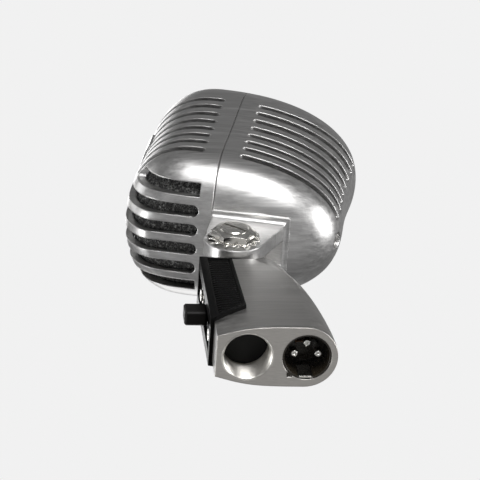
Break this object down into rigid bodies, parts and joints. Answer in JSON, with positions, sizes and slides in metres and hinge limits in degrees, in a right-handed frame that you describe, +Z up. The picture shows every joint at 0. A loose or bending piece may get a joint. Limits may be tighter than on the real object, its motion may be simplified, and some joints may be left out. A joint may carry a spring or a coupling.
{
  "type": "microphone",
  "caption": "Ribbed two-part microphone head that tilts on a cast swivel base with a stand thread, a three-pin inlet and a slide switch.",
  "frame": {"origin": "centre of the stand thread's mouth, on the base's flat underside", "axes": "+Z up along the stand thread, -Y towards the front bars and the switch, +X towards the swivel's hex nut"},
  "size_m": [0.0549, 0.0859, 0.1894],
  "materials": {
    "head_casting": "satin brushed die casting, bright plated",
    "base_casting": "satin brushed die casting, bright plated",
    "trim_band": "polished",
    "foam": "open-cell foam, charcoal",
    "capsule_aluminium": "turned",
    "film": "clear moulded film",
    "copper_winding": "enamelled copper",
    "magnet_metal": "ground",
    "soft_iron": "zinc plated",
    "black_rubber": "matte",
    "bracket_steel": "plated sheet",
    "laminations": "stacked sheet",
    "screw_steel": "nickel plated",
    "swivel_chrome": "bright chrome",
    "bronze": "sintered",
    "fibre": "vulcanised fibre",
    "nickel_insert": "nickel plated, turned",
    "black_disc": "matte black",
    "black_plastic": "moulded",
    "cover_plastic": "fine ribbed moulding",
    "lever_plastic": "moulded",
    "contact_silver": "silver plated",
    "phenolic": "phenolic",
    "lead_insulation": "coloured insulation"
  },
  "bodies": {
    "base": {"base_housing": "base_casting", "thread_insert": "nickel_insert", "thread_end_disc": "black_disc", "connector_insert": "black_plastic", "contact_pins": "contact_silver", "connector_latch_plate": "screw_steel", "connector_screw": "screw_steel", "pivot_bush": "bronze", "friction_washers": "fibre", "switch_cover": "cover_plastic", "cover_screws": "screw_steel", "switch_frame": "bracket_steel", "switch_body": "phenolic", "switch_terminals": "contact_silver", "base_leads": "lead_insulation"},
    "head": {"front_housing": "head_casting", "rear_housing": "head_casting", "front_band": "trim_band", "front_foam": "foam", "rear_foam": "foam", "capsule_case": "capsule_aluminium", "capsule_cap": "capsule_aluminium", "diaphragm": "film", "voice_coil": "copper_winding", "pole_piece": "soft_iron", "magnet": "magnet_metal", "magnet_yoke": "soft_iron", "shock_mount": "black_rubber", "capsule_bracket": "bracket_steel", "housing_screws": "screw_steel", "transformer_core": "laminations", "transformer_winding": "copper_winding", "transformer_clamp": "bracket_steel", "clamp_screws": "screw_steel", "head_leads": "lead_insulation", "pivot_bolt": "swivel_chrome", "star_washer": "swivel_chrome", "pivot_nut": "swivel_chrome"},
    "switch": {"switch_lever": "lever_plastic", "switch_slider": "contact_silver"}
  },
  "joints": [
    {"name": "head_tilt", "type": "hinge", "parent": "base", "child": "head", "pos_m": [0, 0.00114, 0.06754], "axis": [1, 0, 0], "range_deg": [-46.5, 73.5]},
    {"name": "switch_slide", "type": "slide", "parent": "base", "child": "switch", "axis": [0, 0, -1], "range_m": [0, 0.004]}
  ]
}
